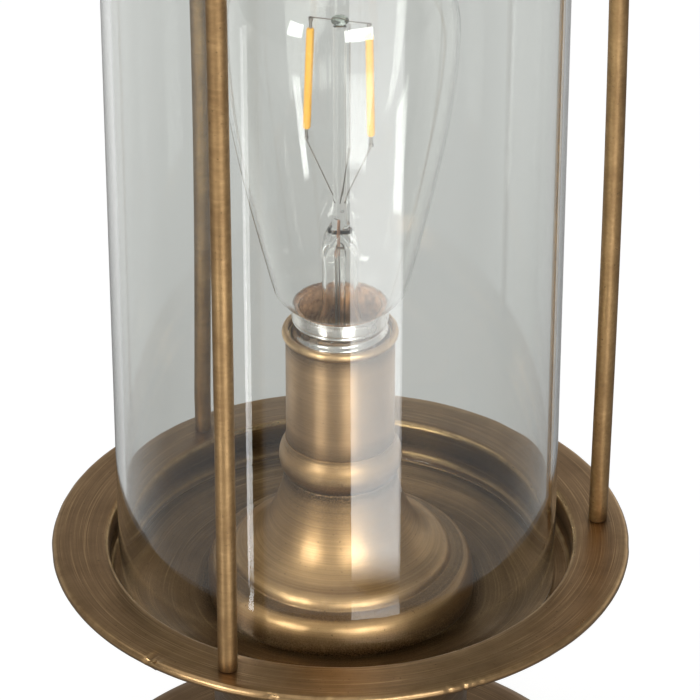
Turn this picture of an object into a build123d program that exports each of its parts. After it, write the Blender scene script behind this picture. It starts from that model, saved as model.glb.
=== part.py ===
from build123d import *
import os
from math import copysign, cos, radians, sin, sqrt

# All sizes are millimetres. The lamp stands on Z = 0 with its axis on Z, and -Y is its front.

# Glass chimney, standing loose on the ledge of the dish and a little to one side
glass_d = 120.0
glass_wall = 2.5
glass_height = 230.0
glass_shift = -1.0

# Spun tray with a turned-under hem, and the matching ring at the top of the rods
flange_sheet = 1.2
flange_width = 15.7
hem_height = 2.8
bend_r = 2.0
tray_gap = 3.6
dish_corner_r = 1.5
ledge_depth = 10.5
ledge_width = 9.0
slope_width = 9.5
well_drop = 3.0
ring_gap = 3.6
ring_collar = 10.0

# Upright rods with threaded ends, their nuts and finials
rod_d = 5.2
rod_length = 212.8
rod_first_angle = 5.8
rod_names = ("rod_right", "rod_rear", "rod_front")
spigot_d = 4.0
rod_nut_af = 7.0
rod_nut_height = 3.2
spigot_end = 1.0
finial_d = 8.4
finial_skirt = 3.0
finial_thread = 4.0

# Column between foot and tray
column_d = 71.0
column_wall = 1.5
column_length = 76.0
cup_sheet = 1.5
cup_rim = 8.0

# Foot
foot_d = 155.0
foot_height = 20.0
foot_sheet = 1.2
foot_edge_r = 5.0
foot_lift = 0.8
felt_thickness = 2.0
felt_margin = 3.0
plate_thickness = 1.5
weight_margin = 4.5
weight_web = 5.0
weight_recess_d = 44.0
cord_channel = 9.0
plate_screw_d = 3.8
plate_screw_head_d = 7.2
plate_screw_head = 1.2
plate_screw_length = 10.0
plate_screw_circle = 100.0
plate_screw_count = 3
plate_screw_first_angle = 30.0

# Cord inlet bush at the back of the foot
bush_bore = 6.5
bush_barrel_d = 9.0
bush_head_d = 11.4
bush_head = 1.5
bush_back = 2.5

# Earth connection under the web of the weight
earth_screw_d = 3.8
earth_head_d = 7.0
earth_head = 1.8
earth_tag_d = 8.0
earth_tag_sheet = 0.8
earth_circle_r = 15.0
earth_angle = 200.0

# Threaded tube that ties the stack together
tube_d = 10.0
tube_bore = 8.0
tube_nut_af = 14.0
tube_nut_height = 2.5
tube_washer_d = 18.0
tube_washer_sheet = 0.8
tube_tail = 0.5

# Turned socket plinth, heights measured from the dish floor
plinth_bead_r = 37.6
plinth_seat_r = 36.8
plinth_bead_top = 8.7
plinth_bead_in_r = 35.2
plinth_ledge = 9.2
plinth_ledge_in_r = 30.5
plinth_step_r = 29.9
plinth_step_mid = 10.9
plinth_step_in_r = 28.2
plinth_step = 12.5
plinth_flare_r = 20.2
plinth_flare = 14.6
plinth_waist_r = 16.2
plinth_waist = 28.0
plinth_neck_r = 15.2
plinth_neck = 35.2
collar_edge_r = 15.0
collar_r = 16.7
plinth_height = 46.0
plinth_rim = 12.0
plinth_neck_wall = 4.0

# Lampholder inside the sleeve, sized outwards from the bulb cap
screw_gap = 0.3
shell_sheet = 0.25
liner_sheet = 0.25
sleeve_wall = 0.75
sleeve_length = 33.5
lip_r = 15.65
lip_height = 2.6
liner_end = 2.0
shell_end = 1.6
shell_flange_sheet = 0.4
shell_flange_hole_d = 14.0
socket_base_height = 8.0
socket_base_top = 2.0
wire_hole_d = 2.4
wire_hole_r = 4.2
contact_width = 5.0
contact_sheet = 0.4
contact_reach = 6.0
contact_end = 2.5
rivet_r = 10.0
rivet_head_d = 3.6
rivet_head = 1.0
rivet_d = 2.0
rivet_length = 4.0

# Bulb cap with its round thread
cap_d = 26.1
cap_length = 27.0
cap_stand = 7.3
cap_band = 3.4
cap_sheet = 0.4
cap_shoulder = 0.9
thread_pitch = 3.629
thread_turns = 4.0
thread_r = 1.1
thread_root = 0.95
cap_skirt_end = 22.0
cap_turn_in = 1.4
tip_d = 9.4
tip_height = 1.0
tip_round = 0.9
insulator_d = 10.6

# Bulb glass, heights measured from the rim of the cap
neck_d = 22.4
neck_length = 14.0
neck_end = -0.6
neck_flare_r = 11.5
neck_flare = 0.1
shoulder_turn_r = 16.9
shoulder_turn = 1.4
shoulder_r = 18.2
shoulder = 6.7
belly_r = 25.7
belly = 36.7
cheek = 63.0
bulb_r = 31.0
bulb_centre = 81.0
bulb_wall = 0.8

# Stem and filaments, heights measured from the rim of the cap
flare_gap = 0.2
flare_lip = 1.0
stem_tube_d = 9.7
stem_wall = 1.0
stem_foot = -3.0
stem_shoulder = 20.0
pinch_width = 8.0
pinch_thickness = 3.4
pinch_height = 11.0
stem_rod_d = 3.6
stem_top = 83.0
button_d = 4.9
filament_count = 2
filament_d = 2.1
filament_length = 29.0
filament_bottom = 51.0
filament_spread = 7.8
filament_turn = -14.0
tab_d = 0.8
tab_length = 3.0
wire_d = 0.4
support_x = 2.6
support_y = -2.4

# Clearances
slip = 0.05
hole_slip = 0.2
seat_gap = 0.3

# Levels and radii that follow from the sizes above
foot_r = foot_d / 2
plate_top = felt_thickness + plate_thickness
foot_under = foot_height - foot_sheet
column_top = foot_height + column_length
floor_top = column_top + flange_sheet
ledge_top = floor_top + well_drop
flange_top = ledge_top + ledge_depth
ring_under = flange_top + rod_length
ring_top = ring_under + flange_sheet
glass_r = glass_d / 2
dish_r = glass_r + tray_gap
ring_r = glass_r + ring_gap
rim_r = dish_r + flange_width
rod_circle_r = dish_r + flange_width / 2
hem_in_r = rod_circle_r + rod_nut_af / sqrt(3) + seat_gap
tube_r = tube_d / 2
tube_hole_r = tube_r + hole_slip
spigot_hole_r = spigot_d / 2 + hole_slip
web_under = foot_under - weight_web
tube_nut_bottom = web_under - tube_washer_sheet - tube_nut_height
tube_bottom = tube_nut_bottom - tube_tail
plinth_top = floor_top + plinth_height
base_top = plinth_top + socket_base_height
sleeve_top = plinth_top + sleeve_length
cap_r = cap_d / 2
shell_in_r = cap_r + screw_gap
shell_out_r = shell_in_r + shell_sheet
liner_in_r = shell_out_r + slip
liner_out_r = liner_in_r + liner_sheet
sleeve_in_r = liner_out_r + slip
sleeve_out_r = sleeve_in_r + sleeve_wall
cap_rim = sleeve_top + cap_stand
cap_tip = cap_rim - cap_length
neck_r = neck_d / 2
stem_r = stem_tube_d / 2
pinch_top = stem_shoulder + pinch_height

upright = (Align.CENTER, Align.CENTER, Align.MIN)


def at(r, z):
    return (r, 0, z)


def corner(start, end, centre):
    # Arc of less than half a turn about a centre, all in the XZ plane
    c = Vector(*centre)
    a = Vector(*start) - c
    b = Vector(*end) - c
    middle = c + (a + b).normalized() * a.length
    return ThreePointArc(start, middle, end)


def turned(*lines):
    # One full turn of a closed outline drawn in the XZ plane
    return revolve(make_face([edge for line in lines for edge in line.edges()]), Axis.Z)


def rod(r, bottom, top, x=0.0, y=0.0):
    return Pos(x, y, bottom) * Cylinder(r, top - bottom, align=upright)


def pipe(outer_r, inner_r, bottom, top, x=0.0, y=0.0):
    return rod(outer_r, bottom, top, x, y) - rod(inner_r, bottom, top, x, y)


def hex_nut(across_flats, bore_r, bottom, height, x=0.0, y=0.0):
    blank = extrude(RegularPolygon(across_flats / 2, 6, major_radius=False), height)
    return Pos(x, y, bottom) * blank - rod(bore_r, bottom, bottom + height, x, y)


def spots(circle_r, count, first_angle):
    # Points spread evenly on a circle about the lamp's axis
    angles = [radians(first_angle + 360 * k / count) for k in range(count)]
    return [(circle_r * cos(a), circle_r * sin(a)) for a in angles]


def wire(start, end):
    # Straight round wire between two points
    run = Vector(*end) - Vector(*start)
    return Plane(start, z_dir=run) * Cylinder(wire_d / 2, run.length, align=upright)


rod_spots = spots(rod_circle_r, len(rod_names), rod_first_angle)
screw_spots = spots(plate_screw_circle / 2, plate_screw_count, plate_screw_first_angle)
nodes = {}


# Tray and top ring
def flange(wall_r, top):
    # Open outline of a flange from the top of its inner wall, round the hem and back under
    hem_r = hem_height / 2
    outer_r = rim_r - hem_r
    hem_under = top - hem_height
    under = top - flange_sheet
    bend_centre = at(wall_r + bend_r, top - bend_r)
    return [
        corner(at(wall_r, top - bend_r), at(wall_r + bend_r, top), bend_centre),
        Line(at(wall_r + bend_r, top), at(outer_r, top)),
        ThreePointArc(at(outer_r, top), at(rim_r, top - hem_r), at(outer_r, hem_under)),
        Polyline(
            at(outer_r, hem_under),
            at(hem_in_r, hem_under),
            at(hem_in_r, under),
            at(wall_r + bend_r, under),
        ),
        corner(
            at(wall_r + bend_r, under),
            at(wall_r + flange_sheet, top - bend_r),
            bend_centre,
        ),
    ]


def drilled(plate, bottom, top):
    for x, y in rod_spots:
        plate -= rod(spigot_hole_r, bottom, top, x, y)
    return plate


ledge_r = dish_r - ledge_width
well_r = ledge_r - slope_width
corner_start = dish_r - dish_corner_r
corner_top = ledge_top + dish_corner_r
corner_centre = at(corner_start, corner_top)
tray = turned(
    Polyline(
        at(tube_hole_r, floor_top),
        at(well_r, floor_top),
        at(ledge_r, ledge_top),
        at(corner_start, ledge_top),
    ),
    corner(at(corner_start, ledge_top), at(dish_r, corner_top), corner_centre),
    Line(at(dish_r, corner_top), at(dish_r, flange_top - bend_r)),
    *flange(dish_r, flange_top),
    Line(at(dish_r + flange_sheet, flange_top - bend_r), at(dish_r + flange_sheet, corner_top)),
    corner(
        at(dish_r + flange_sheet, corner_top),
        at(corner_start, ledge_top - flange_sheet),
        corner_centre,
    ),
    Polyline(
        at(corner_start, ledge_top - flange_sheet),
        at(ledge_r, ledge_top - flange_sheet),
        at(well_r, column_top),
        at(tube_hole_r, column_top),
        at(tube_hole_r, floor_top),
    ),
)
nodes["tray"] = drilled(tray, flange_top - hem_height, flange_top)

collar_end = ring_top - ring_collar
top_ring = turned(
    Polyline(
        at(ring_r + flange_sheet, ring_top - bend_r),
        at(ring_r + flange_sheet, collar_end),
        at(ring_r, collar_end),
        at(ring_r, ring_top - bend_r),
    ),
    *flange(ring_r, ring_top),
)
nodes["top_ring"] = drilled(top_ring, ring_top - hem_height, ring_top)

# Rods, their nuts and their finials
rod_nut_bottom = flange_top - flange_sheet - rod_nut_height
finial_dome = finial_d / 2
finial_shoulder = ring_top + finial_skirt
rod_nuts = []
finials = []
for name, (x, y) in zip(rod_names, rod_spots):
    shaft = rod(rod_d / 2, flange_top, ring_under, x, y)
    shaft += rod(spigot_d / 2, rod_nut_bottom - spigot_end, flange_top, x, y)
    shaft += rod(spigot_d / 2, ring_under, ring_top + finial_thread, x, y)
    nodes[name] = shaft
    rod_nuts.append(hex_nut(rod_nut_af, spigot_d / 2 + slip, rod_nut_bottom, rod_nut_height, x, y))
    finial = rod(finial_dome, ring_top, finial_shoulder, x, y)
    finial += Pos(x, y, finial_shoulder) * Sphere(finial_dome, 0, 90, align=upright)
    finial -= rod(spigot_d / 2 + slip, ring_top, ring_top + finial_thread + slip, x, y)
    finials.append(finial)
nodes["rod_lower_nuts"] = Compound(children=rod_nuts)
nodes["rod_finials"] = Compound(children=finials)

# Glass chimney
nodes["glass_chimney"] = pipe(
    glass_r, glass_r - glass_wall, ledge_top, ledge_top + glass_height, glass_shift
)

# Column with its centring cups
column_in_r = column_d / 2 - column_wall
cup_r = column_in_r - seat_gap
nodes["column_tube"] = pipe(column_d / 2, column_in_r, foot_height, column_top)
nodes["centring_cup_lower"] = pipe(cup_r, tube_hole_r, foot_height, foot_height + cup_rim) - rod(
    cup_r - cup_sheet, foot_height + cup_sheet, foot_height + cup_rim
)
nodes["centring_cup_upper"] = pipe(cup_r, tube_hole_r, column_top - cup_rim, column_top) - rod(
    cup_r - cup_sheet, column_top - cup_rim, column_top - cup_sheet
)

# Foot shell
edge_start = foot_height - foot_edge_r
edge_in_r = foot_r - foot_edge_r
skirt_in_r = foot_r - foot_sheet
edge_centre = at(edge_in_r, edge_start)
foot_shell = turned(
    Line(at(foot_r, foot_lift), at(foot_r, edge_start)),
    corner(at(foot_r, edge_start), at(edge_in_r, foot_height), edge_centre),
    Polyline(
        at(edge_in_r, foot_height),
        at(tube_hole_r, foot_height),
        at(tube_hole_r, foot_under),
        at(edge_in_r, foot_under),
    ),
    corner(at(edge_in_r, foot_under), at(skirt_in_r, edge_start), edge_centre),
    Polyline(at(skirt_in_r, edge_start), at(skirt_in_r, foot_lift), at(foot_r, foot_lift)),
)

# Cord inlet bush, a flange on each side of the skirt
bush_r = bush_barrel_d / 2
bush_head_r = bush_head_d / 2
bush_level = plate_top + bush_head_r + seat_gap
bush_face = sqrt(skirt_in_r**2 - bush_head_r**2) - slip
bush_inner = bush_face - bush_back
bush_outer = foot_r + bush_head


def rearward(r, start, end):
    # Round bar along +Y at the level of the cord inlet
    return Pos(0, start, bush_level) * Rot(-90, 0, 0) * Cylinder(r, end - start, align=upright)


nodes["foot_shell"] = foot_shell - rearward(bush_r + slip, edge_in_r, bush_outer)
cord_bush = rearward(bush_r, bush_inner, bush_outer)
cord_bush += rearward(bush_head_r, foot_r, bush_outer)
cord_bush += rearward(bush_head_r, bush_inner, bush_face)
nodes["cord_bush"] = cord_bush - rearward(bush_bore / 2, bush_inner, bush_outer)

# Foot weight with its recess, cord channel and screw holes
weight_r = edge_in_r - weight_margin
screw_top = felt_thickness + plate_screw_length
screw_hole_r = plate_screw_d / 2 + slip
earth_x, earth_y = spots(earth_circle_r, 1, earth_angle)[0]
earth_hole_r = earth_screw_d / 2 + slip
weight = pipe(weight_r, tube_hole_r, plate_top, foot_under)
weight -= rod(weight_recess_d / 2, plate_top, web_under)
cord_room = Box(cord_channel, weight_r, web_under - plate_top, align=upright)
weight -= Pos(0, weight_r / 2, plate_top) * cord_room
weight -= rod(earth_hole_r, web_under, foot_under, earth_x, earth_y)

# Base plate, felt and screws
plate_r = skirt_in_r - seat_gap
plate = rod(plate_r, felt_thickness, plate_top)
felt = rod(plate_r - felt_margin, 0, felt_thickness)
plate_screws = []
for x, y in screw_spots:
    weight -= rod(screw_hole_r, plate_top, screw_top + slip, x, y)
    plate -= rod(screw_hole_r, felt_thickness, plate_top, x, y)
    felt -= rod(plate_screw_head_d / 2 + hole_slip, 0, felt_thickness, x, y)
    head = rod(plate_screw_head_d / 2, felt_thickness - plate_screw_head, felt_thickness, x, y)
    plate_screws.append(head + rod(plate_screw_d / 2, felt_thickness, screw_top, x, y))
nodes["foot_weight"] = weight
nodes["foot_plate"] = plate
nodes["foot_felt"] = felt
nodes["plate_screws"] = Compound(children=plate_screws)

# Earth screw and tag
tag_bottom = web_under - earth_tag_sheet
earth_tag_r = earth_tag_d / 2
nodes["earth_tag"] = pipe(earth_tag_r, earth_hole_r, tag_bottom, web_under, earth_x, earth_y)
earth_screw = rod(earth_head_d / 2, tag_bottom - earth_head, tag_bottom, earth_x, earth_y)
nodes["earth_screw"] = earth_screw + rod(earth_screw_d / 2, tag_bottom, foot_under, earth_x, earth_y)

# Threaded tube, nuts and washers: one set under the weight, one on the dish floor
tube_top = base_top - socket_base_top
nodes["threaded_tube"] = pipe(tube_r, tube_bore / 2, tube_bottom, tube_top)
nut_bore_r = tube_r + slip
washer_r = tube_washer_d / 2
washer_top = floor_top + tube_washer_sheet
nodes["tube_nuts"] = Compound(
    children=[
        hex_nut(tube_nut_af, nut_bore_r, tube_nut_bottom, tube_nut_height),
        hex_nut(tube_nut_af, nut_bore_r, washer_top, tube_nut_height),
    ]
)
nodes["tube_washers"] = Compound(
    children=[
        pipe(washer_r, tube_hole_r, web_under - tube_washer_sheet, web_under),
        pipe(washer_r, tube_hole_r, floor_top, washer_top),
    ]
)


# Socket plinth
def on_floor(r, height):
    return at(r, floor_top + height)


plinth = turned(
    ThreePointArc(
        on_floor(plinth_seat_r, 0),
        on_floor(plinth_bead_r, plinth_bead_top / 2),
        on_floor(plinth_bead_in_r, plinth_bead_top),
    ),
    Line(on_floor(plinth_bead_in_r, plinth_bead_top), on_floor(plinth_ledge_in_r, plinth_ledge)),
    ThreePointArc(
        on_floor(plinth_ledge_in_r, plinth_ledge),
        on_floor(plinth_step_r, plinth_step_mid),
        on_floor(plinth_step_in_r, plinth_step),
    ),
    Bezier(
        on_floor(plinth_step_in_r, plinth_step),
        on_floor(plinth_flare_r, plinth_flare),
        on_floor(plinth_waist_r, plinth_waist),
        on_floor(plinth_neck_r, plinth_neck),
    ),
    Line(on_floor(plinth_neck_r, plinth_neck), on_floor(collar_edge_r, plinth_neck)),
    ThreePointArc(
        on_floor(collar_edge_r, plinth_neck),
        on_floor(collar_r, (plinth_neck + plinth_height) / 2),
        on_floor(collar_edge_r, plinth_height),
    ),
    Polyline(
        on_floor(collar_edge_r, plinth_height),
        on_floor(tube_hole_r, plinth_height),
        on_floor(tube_hole_r, plinth_neck),
        on_floor(plinth_neck_r - plinth_neck_wall, plinth_neck),
        on_floor(plinth_seat_r - plinth_rim, 0),
        on_floor(plinth_seat_r, 0),
    ),
)
nodes["socket_plinth"] = plinth

# Lampholder
lip_start = sleeve_top - lip_height
nodes["socket_sleeve"] = turned(
    Polyline(
        at(sleeve_out_r, sleeve_top),
        at(sleeve_in_r, sleeve_top),
        at(sleeve_in_r, plinth_top),
        at(sleeve_out_r, plinth_top),
        at(sleeve_out_r, lip_start),
    ),
    ThreePointArc(
        at(sleeve_out_r, lip_start),
        at(lip_r, sleeve_top - lip_height / 2),
        at(sleeve_out_r, sleeve_top),
    ),
)
nodes["socket_liner"] = pipe(liner_out_r, liner_in_r, plinth_top, sleeve_top - liner_end)

base_r = liner_in_r - slip
socket_base = rod(base_r, plinth_top, base_top) - rod(nut_bore_r, plinth_top, tube_top)
for side in (-1, 1):
    socket_base -= rod(wire_hole_d / 2, tube_top, base_top, 0, side * wire_hole_r)
    socket_base -= rod(rivet_d / 2 + slip, base_top - rivet_length - slip, base_top, side * rivet_r, 0)
nodes["socket_base"] = socket_base

shell_floor = base_top + shell_flange_sheet
screw_shell = pipe(shell_out_r, shell_in_r, shell_floor, sleeve_top - shell_end)
screw_shell += pipe(shell_out_r, shell_flange_hole_d / 2, base_top, shell_floor)
rivets = []
for side in (-1, 1):
    screw_shell -= rod(rivet_d / 2 + slip, base_top, shell_floor, side * rivet_r, 0)
    head = rod(rivet_head_d / 2, shell_floor, shell_floor + rivet_head, side * rivet_r, 0)
    rivets.append(head + rod(rivet_d / 2, base_top - rivet_length, shell_floor, side * rivet_r, 0))
nodes["socket_screw_shell"] = screw_shell
nodes["socket_rivets"] = Compound(children=rivets)

# Centre contact: a leaf folded over into a C
contact_top = cap_tip - seat_gap
leaf_length = contact_reach + contact_end
leaf_mid = (contact_end - contact_reach) / 2
contact_height = contact_top - base_top
lower_leaf = Pos(leaf_mid, 0, base_top) * Box(leaf_length, contact_width, contact_sheet, align=upright)
upper_leaf = Pos(0, 0, contact_height - contact_sheet) * lower_leaf
fold = Pos(contact_sheet / 2 - contact_reach, 0, base_top) * Box(
    contact_sheet, contact_width, contact_height, align=upright
)
nodes["socket_contact"] = lower_leaf + upper_leaf + fold


# Bulb cap: thin shell, smooth band at the rim, round thread below
def from_rim(r, height):
    return at(r, cap_rim + height)


root_r = cap_r - thread_root
root_in_r = root_r - cap_sheet
cap_mouth_r = root_r - cap_turn_in
skirt_end = -cap_skirt_end
shoulder_end = -cap_band - cap_shoulder
cap_shell = turned(
    Polyline(
        from_rim(cap_r, 0),
        from_rim(cap_r, -cap_band),
        from_rim(root_r, shoulder_end),
        from_rim(root_r, skirt_end + cap_turn_in),
        from_rim(cap_mouth_r, skirt_end),
        from_rim(cap_mouth_r - cap_sheet, skirt_end),
        from_rim(root_in_r, skirt_end + cap_turn_in),
        from_rim(root_in_r, shoulder_end),
        from_rim(cap_r - cap_sheet, -cap_band),
        from_rim(cap_r - cap_sheet, 0),
        from_rim(cap_r, 0),
    )
)
thread_height = thread_pitch * thread_turns
thread_top = cap_rim + shoulder_end - thread_r
thread_bottom = thread_top - thread_height
thread_path = Pos(0, 0, thread_bottom) * Helix(thread_pitch, thread_height, cap_r - thread_r)
thread_section = Plane(thread_path @ 0, z_dir=thread_path % 0) * Circle(thread_r)
thread = sweep(thread_section, path=thread_path, is_frenet=True)
thread -= rod((root_r + root_in_r) / 2, thread_bottom - thread_pitch, thread_top + thread_pitch)
nodes["bulb_cap"] = cap_shell + thread

# Insulator and centre contact of the cap
tip_top = cap_tip + tip_height
insulator_r = cap_mouth_r - cap_sheet - slip
nodes["bulb_insulator"] = turned(
    Polyline(
        at(0, tip_top),
        at(insulator_d / 2, tip_top),
        from_rim(insulator_r, skirt_end),
        from_rim(insulator_r, skirt_end + cap_turn_in / 2),
        from_rim(0, skirt_end + cap_turn_in / 2),
        at(0, tip_top),
    )
)
tip = rod(tip_d / 2, cap_tip, tip_top)
tip_rim = tip.edges().filter_by(GeomType.CIRCLE).sort_by(Axis.Z)[0]
nodes["bulb_contact"] = fillet(tip_rim, tip_round)


# Bulb glass
def pear(inset):
    # Solid of the bulb from the bottom of its neck to the top of its dome, moved in by a wall
    dome_r = bulb_r - inset
    dome_top = from_rim(0, bulb_centre + dome_r)
    neck = from_rim(neck_r - inset, neck_end)
    shoulder_point = from_rim(shoulder_r - inset, shoulder)
    widest = from_rim(dome_r, bulb_centre)
    return turned(
        Polyline(dome_top, from_rim(0, -neck_length), from_rim(neck_r - inset, -neck_length), neck),
        Bezier(
            neck,
            from_rim(neck_flare_r - inset, neck_flare),
            from_rim(shoulder_turn_r - inset, shoulder_turn),
            shoulder_point,
        ),
        Bezier(
            shoulder_point,
            from_rim(belly_r - inset, belly),
            from_rim(dome_r, cheek),
            widest,
        ),
        corner(widest, dome_top, from_rim(0, bulb_centre)),
    )


nodes["bulb_glass"] = pear(0) - pear(bulb_wall)

# Cement between the cap and the neck
cement_in_r = neck_r + slip
nodes["bulb_cement"] = turned(
    Polyline(
        from_rim(cement_in_r, -neck_length),
        from_rim(root_in_r - slip, -neck_length),
        from_rim(root_in_r - slip, shoulder_end),
        from_rim(cap_r - cap_sheet - slip, -cap_band),
        from_rim(cap_r - cap_sheet - slip, neck_end),
        from_rim(cement_in_r, neck_end),
        from_rim(cement_in_r, -neck_length),
    )
)

# Stem: flare, tube, flattened pinch, rod and button
flare_r = neck_r - bulb_wall - flare_gap
flare_foot = -neck_length
stem_in_r = stem_r - stem_wall
stem = turned(
    Polyline(
        from_rim(flare_r, flare_foot),
        from_rim(flare_r, flare_foot + flare_lip),
        from_rim(stem_r, stem_foot),
        from_rim(stem_r, stem_shoulder),
        from_rim(0, stem_shoulder),
        from_rim(0, stem_shoulder - stem_wall),
        from_rim(stem_in_r, stem_shoulder - stem_wall),
        from_rim(stem_in_r, stem_foot),
        from_rim(flare_r - flare_lip, flare_foot),
        from_rim(flare_r, flare_foot),
    )
)
pinch = Cone(pinch_width / 2, stem_rod_d / 2, pinch_height, align=upright)
pinch &= Box(pinch_width, pinch_thickness, pinch_height, align=upright)
stem += Pos(*from_rim(0, stem_shoulder)) * pinch
stem += rod(stem_rod_d / 2, cap_rim + stem_shoulder, cap_rim + stem_top)
stem += Pos(*from_rim(0, stem_top)) * Sphere(button_d / 2)
nodes["bulb_stem"] = stem

# Two filaments with their end tabs
filament_top = filament_bottom + filament_length
low_tab = cap_rim + filament_bottom - tab_length
high_tab = cap_rim + filament_top + tab_length
button = from_rim(0, stem_top)
pinch_x = stem_rod_d / 4
filaments = []
wires = []
for x, y in spots(filament_spread, filament_count, filament_turn):
    stick = rod(filament_d / 2, cap_rim + filament_bottom, cap_rim + filament_top, x, y)
    filaments.append(stick + rod(tab_d / 2, low_tab, high_tab, x, y))
    wires.append(wire(from_rim(copysign(pinch_x, x), pinch_top), (x, y, low_tab)))
    wires.append(wire(button, (x, y, high_tab)))

# Bare wire that props the button wire from the pinch
support_low = (support_x, support_y, low_tab)
support_high = (support_x, support_y, high_tab)
wires.append(wire(from_rim(0, pinch_top), support_low))
wires.append(wire(support_low, support_high))
nodes["bulb_filaments"] = Compound(children=filaments)
nodes["bulb_wires"] = Compound(children=wires)

os.makedirs("parts", exist_ok=True)
for name, shape in nodes.items():
    shape.label = name
    export_step(shape, os.path.join("parts", name + ".step"))
print("cap thread volume", round(thread.volume, 1), "nodes", len(nodes))
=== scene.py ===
import bpy
import bmesh
from math import atan2, cos, dist, hypot, pi, radians, sin
from mathutils import Matrix, Vector, noise
from mathutils.geometry import interpolate_bezier


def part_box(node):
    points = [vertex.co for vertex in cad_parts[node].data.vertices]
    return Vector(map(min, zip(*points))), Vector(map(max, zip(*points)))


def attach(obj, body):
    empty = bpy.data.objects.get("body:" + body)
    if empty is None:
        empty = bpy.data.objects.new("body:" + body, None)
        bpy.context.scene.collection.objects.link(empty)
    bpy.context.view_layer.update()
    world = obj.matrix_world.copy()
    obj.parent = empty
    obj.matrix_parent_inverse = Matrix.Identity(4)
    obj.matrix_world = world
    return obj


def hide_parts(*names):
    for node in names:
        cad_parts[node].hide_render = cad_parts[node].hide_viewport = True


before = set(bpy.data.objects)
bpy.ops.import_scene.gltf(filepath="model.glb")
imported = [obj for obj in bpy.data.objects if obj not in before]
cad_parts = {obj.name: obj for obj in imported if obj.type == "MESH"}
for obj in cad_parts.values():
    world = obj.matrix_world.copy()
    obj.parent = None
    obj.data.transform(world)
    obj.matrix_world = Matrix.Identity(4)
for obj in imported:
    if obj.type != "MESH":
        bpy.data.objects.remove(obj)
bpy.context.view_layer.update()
scene = bpy.context.scene
mm = 0.001  # pieces are drawn in millimetres and scaled when they are finished


def boxOf(node):
    low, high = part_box(node)
    return low / mm, high / mm


# Levels and radii that the CAD gives
trayLow, trayHigh = boxOf("tray")
ringLow, ringHigh = boxOf("top_ring")
plinthLow, plinthHigh = boxOf("socket_plinth")
sleeveLow, sleeveHigh = boxOf("socket_sleeve")
footLow, footHigh = boxOf("foot_shell")
flangeTop = trayHigh.z
rimR = trayHigh.x
dishFloor = plinthLow.z
capRim = boxOf("bulb_cap")[1].z
print("frame loaded", len(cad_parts), "nodes")


# Small helpers for node trees
def feed(tree, socket, value):
    if isinstance(value, bpy.types.NodeSocket):
        tree.links.new(value, socket)
    else:
        socket.default_value = value


def feedAll(tree, node, values):
    # Keys are the names or the numbers of the node's inputs
    for key, value in values.items():
        feed(tree, node.inputs[key], value)
    return node


def addNode(tree, kind, values=None, **settings):
    node = tree.nodes.new(kind)
    for name, setting in settings.items():
        setattr(node, name, setting)
    return feedAll(tree, node, values or {})


def mathStep(tree, operation, *values):
    return addNode(tree, "ShaderNodeMath", dict(enumerate(values)), operation=operation).outputs[0]


def times(tree, first, second):
    return mathStep(tree, "MULTIPLY", first, second)


def mapStep(tree, value, low, high, start=0.0, end=1.0):
    values = dict(enumerate((value, low, high, start, end)))
    return addNode(tree, "ShaderNodeMapRange", values).outputs[0]


def mixColour(tree, factor, first, second):
    return addNode(tree, "ShaderNodeMix", {0: factor, 6: first, 7: second}, data_type="RGBA").outputs[2]


def mixValue(tree, factor, first, second):
    return addNode(tree, "ShaderNodeMix", {0: factor, 2: first, 3: second}, data_type="FLOAT").outputs[0]


def splitAxes(tree, vector):
    return addNode(tree, "ShaderNodeSeparateXYZ", {0: vector}).outputs


def noiseStep(tree, vector, scale, detail=2.0, roughness=0.5):
    values = {"Vector": vector, "Scale": scale, "Detail": detail, "Roughness": roughness}
    return addNode(tree, "ShaderNodeTexNoise", values).outputs[0]


def newGroup(name, values, outputs):
    # A group takes a place and some values, and gives masks or heights
    group = bpy.data.node_groups.new(name, "ShaderNodeTree")
    group.interface.new_socket(name="Vector", in_out="INPUT", socket_type="NodeSocketVector")
    for label, value in values.items():
        socket = group.interface.new_socket(name=label, in_out="INPUT", socket_type="NodeSocketFloat")
        socket.default_value = value
    for label in outputs:
        group.interface.new_socket(name=label, in_out="OUTPUT", socket_type="NodeSocketFloat")
    return group, group.nodes.new("NodeGroupInput").outputs, group.nodes.new("NodeGroupOutput").inputs


def placeGroup(tree, group, values):
    return addNode(tree, "ShaderNodeGroup", values, node_tree=group).outputs


# Lines left by the lathe and the brush: fine across the profile, long round the axis
turning, marksIn, marksOut = newGroup("turning marks", {"Fine": 2500.0, "Along": 30.0}, ["Lines", "Bands"])
markShares = {"Lines": 1.0, "Bands": 0.12}  # of the fineness
axes = splitAxes(turning, marksIn["Vector"])
squares = [times(turning, axes[k], axes[k]) for k in (0, 1)]
radius = mathStep(turning, "SQRT", mathStep(turning, "ADD", *squares))
for label, share in markShares.items():
    across = times(turning, marksIn["Fine"], share)
    lineAt = addNode(turning, "ShaderNodeCombineXYZ", {
        0: times(turning, radius, across),
        1: times(turning, axes[2], across),
        2: times(turning, axes[0], marksIn["Along"]),
    })
    lineNoise = addNode(turning, "ShaderNodeTexNoise", {
        "Vector": lineAt.outputs[0],
        "W": times(turning, axes[1], marksIn["Along"]),
        "Scale": 1.0,
        "Detail": 3.0,
    }, noise_dimensions="4D")
    feed(turning, marksOut[label], lineNoise.outputs[0])

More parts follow.
